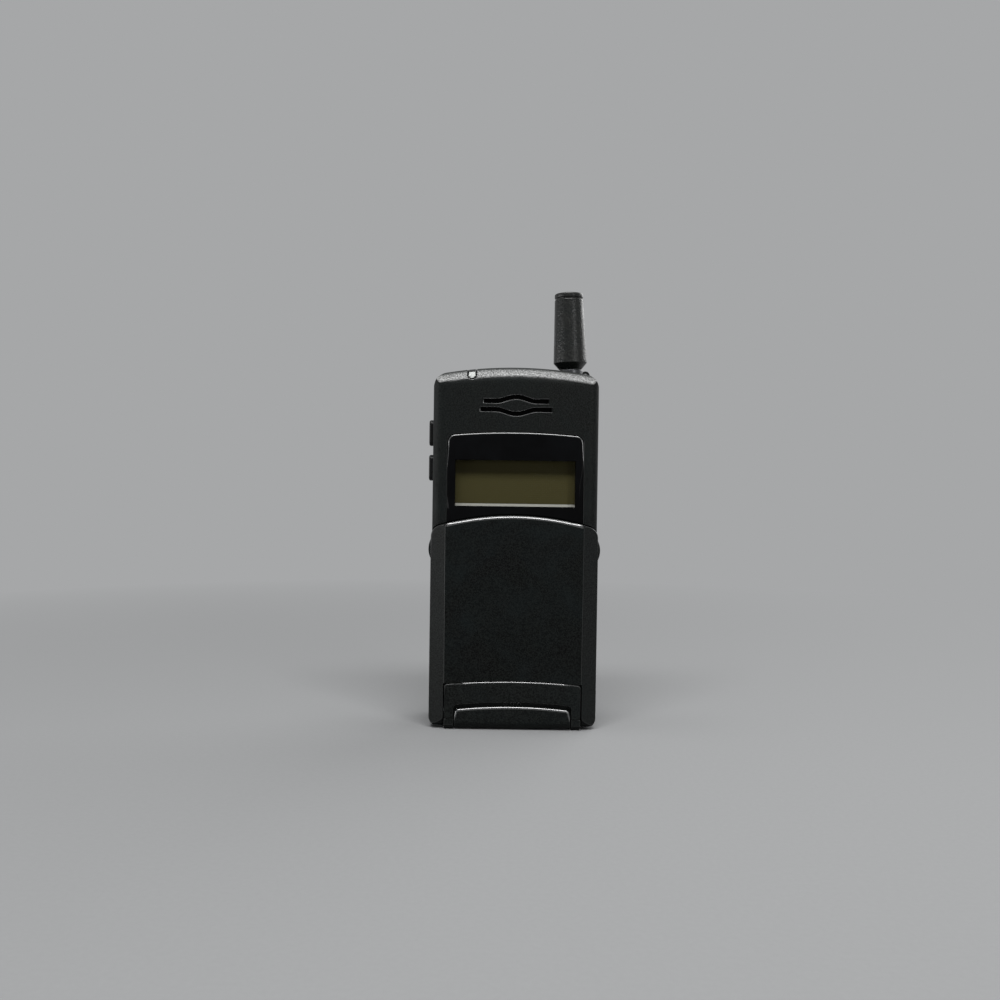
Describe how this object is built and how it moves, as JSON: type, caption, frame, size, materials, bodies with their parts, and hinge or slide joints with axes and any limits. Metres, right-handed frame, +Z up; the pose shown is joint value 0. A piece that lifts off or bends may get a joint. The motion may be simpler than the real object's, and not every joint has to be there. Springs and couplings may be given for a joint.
{
  "type": "flip phone",
  "caption": "Handheld flip phone: a display window above, pill-shaped keys under a lid hinged at the foot, a pull-out antenna, side volume keys and a clip-on battery.",
  "frame": {"origin": "middle of the foot's underside, on the parting plane between the two case covers", "axes": "+Z up towards the antenna, -Y out of the front with the display, +X to the antenna's side"},
  "size_m": [0.0503, 0.024, 0.128],
  "materials": {
    "case_black": "fine-grained charcoal moulding",
    "lid_black": "fine-grained near-black moulding",
    "antenna_black": "smooth black moulding",
    "trim_black": "smooth black",
    "key_grey": "dark grey with pale marks",
    "window_dark": "dark tinted window, glossy",
    "display_olive": "olive display cell",
    "lens_clear": "clear light pipe",
    "frame_white": "white moulding",
    "mesh_black": "fine black mesh",
    "part_black": "black moulding",
    "board_green": "green laminate",
    "mat_grey": "dark grey rubber",
    "dome_film": "pale film",
    "steel": "bright steel",
    "shield_tin": "tinned sheet",
    "bushing_metal": "dark metal",
    "gold": "gold plated",
    "winding": "copper winding",
    "cell_grey": "wrapped cells",
    "switch_glass": "glass tube"
  },
  "bodies": {
    "case": {"front_cover": "case_black", "rear_cover": "case_black", "display_window": "window_dark", "lcd_glass": "display_olive", "lcd_frame": "frame_white", "status_lens": "lens_clear", "earpiece_mesh": "mesh_black", "earpiece": "part_black", "strap_lug": "case_black", "case_screws": "steel", "main_board": "board_green", "rf_shield": "shield_tin", "logic_shield": "shield_tin", "buzzer": "part_black", "microphone": "steel", "microphone_boot": "mat_grey", "dock_connector": "part_black", "dock_contacts": "gold", "battery_contacts": "gold", "hinge_pins": "steel", "hinge_cover": "case_black", "mouthpiece_bar": "case_black", "hook_switch": "switch_glass", "keypad_mat": "mat_grey", "dome_sheet": "dome_film", "side_switches": "steel", "antenna_bushing": "bushing_metal", "antenna_guide": "frame_white"},
    "lid": {"flip_lid": "lid_black", "lid_magnet": "steel"},
    "antenna": {"antenna_stub": "antenna_black", "antenna_cap": "antenna_black", "antenna_whip": "steel", "antenna_coil": "winding"},
    "battery": {"battery_case": "case_black", "battery_lid": "case_black", "battery_cells": "cell_grey", "battery_terminals": "gold"},
    "catch": {"battery_catch": "trim_black"},
    "volume_up": {"volume_key_up": "trim_black"},
    "volume_down": {"volume_key_down": "trim_black"},
    "key_1": {"key_1": "key_grey"},
    "key_2": {"key_2": "key_grey"},
    "key_3": {"key_3": "key_grey"},
    "key_4": {"key_4": "key_grey"},
    "key_5": {"key_5": "key_grey"},
    "key_6": {"key_6": "key_grey"},
    "key_7": {"key_7": "key_grey"},
    "key_8": {"key_8": "key_grey"},
    "key_9": {"key_9": "key_grey"},
    "key_star": {"key_star": "key_grey"},
    "key_0": {"key_0": "key_grey"},
    "key_hash": {"key_hash": "key_grey"},
    "key_call": {"key_call": "key_grey"},
    "key_left": {"key_left": "key_grey"},
    "key_clear": {"key_clear": "key_grey"},
    "key_right": {"key_right": "key_grey"},
    "key_end": {"key_end": "key_grey"}
  },
  "joints": [
    {"name": "lid_hinge", "type": "hinge", "parent": "case", "child": "lid", "pos_m": [0, -0.0075, 0.005], "axis": [1, 0, 0], "range_deg": [0, 145]},
    {"name": "antenna_slide", "type": "slide", "parent": "case", "child": "antenna", "axis": [-0.0349, 0, 0.9994], "range_m": [0, 0.06]},
    {"name": "battery_slide", "type": "slide", "parent": "case", "child": "battery", "axis": [0, 1, 0], "range_m": [0, 0.02]},
    {"name": "catch_slide", "type": "slide", "parent": "battery", "child": "catch", "axis": [0, 0, -1], "range_m": [0, 0.0012], "stiffness_N_per_m": 300},
    {"name": "volume_up_press", "type": "slide", "parent": "case", "child": "volume_up", "axis": [1, 0, 0], "range_m": [0, 0.0005], "stiffness_N_per_m": 300},
    {"name": "volume_down_press", "type": "slide", "parent": "case", "child": "volume_down", "axis": [1, 0, 0], "range_m": [0, 0.0005], "stiffness_N_per_m": 300},
    {"name": "key_1_press", "type": "slide", "parent": "case", "child": "key_1", "axis": [0, 1, 0], "range_m": [0, 0.0005], "stiffness_N_per_m": 300},
    {"name": "key_2_press", "type": "slide", "parent": "case", "child": "key_2", "axis": [0, 1, 0], "range_m": [0, 0.0005], "stiffness_N_per_m": 300},
    {"name": "key_3_press", "type": "slide", "parent": "case", "child": "key_3", "axis": [0, 1, 0], "range_m": [0, 0.0005], "stiffness_N_per_m": 300},
    {"name": "key_4_press", "type": "slide", "parent": "case", "child": "key_4", "axis": [0, 1, 0], "range_m": [0, 0.0005], "stiffness_N_per_m": 300},
    {"name": "key_5_press", "type": "slide", "parent": "case", "child": "key_5", "axis": [0, 1, 0], "range_m": [0, 0.0005], "stiffness_N_per_m": 300},
    {"name": "key_6_press", "type": "slide", "parent": "case", "child": "key_6", "axis": [0, 1, 0], "range_m": [0, 0.0005], "stiffness_N_per_m": 300},
    {"name": "key_7_press", "type": "slide", "parent": "case", "child": "key_7", "axis": [0, 1, 0], "range_m": [0, 0.0005], "stiffness_N_per_m": 300},
    {"name": "key_8_press", "type": "slide", "parent": "case", "child": "key_8", "axis": [0, 1, 0], "range_m": [0, 0.0005], "stiffness_N_per_m": 300},
    {"name": "key_9_press", "type": "slide", "parent": "case", "child": "key_9", "axis": [0, 1, 0], "range_m": [0, 0.0005], "stiffness_N_per_m": 300},
    {"name": "key_star_press", "type": "slide", "parent": "case", "child": "key_star", "axis": [0, 1, 0], "range_m": [0, 0.0005], "stiffness_N_per_m": 300},
    {"name": "key_0_press", "type": "slide", "parent": "case", "child": "key_0", "axis": [0, 1, 0], "range_m": [0, 0.0005], "stiffness_N_per_m": 300},
    {"name": "key_hash_press", "type": "slide", "parent": "case", "child": "key_hash", "axis": [0, 1, 0], "range_m": [0, 0.0005], "stiffness_N_per_m": 300},
    {"name": "key_call_press", "type": "slide", "parent": "case", "child": "key_call", "axis": [0, 1, 0], "range_m": [0, 0.0005], "stiffness_N_per_m": 300},
    {"name": "key_left_press", "type": "slide", "parent": "case", "child": "key_left", "axis": [0, 1, 0], "range_m": [0, 0.0005], "stiffness_N_per_m": 300},
    {"name": "key_clear_press", "type": "slide", "parent": "case", "child": "key_clear", "axis": [0, 1, 0], "range_m": [0, 0.0005], "stiffness_N_per_m": 300},
    {"name": "key_right_press", "type": "slide", "parent": "case", "child": "key_right", "axis": [0, 1, 0], "range_m": [0, 0.0005], "stiffness_N_per_m": 300},
    {"name": "key_end_press", "type": "slide", "parent": "case", "child": "key_end", "axis": [0, 1, 0], "range_m": [0, 0.0005], "stiffness_N_per_m": 300}
  ]
}
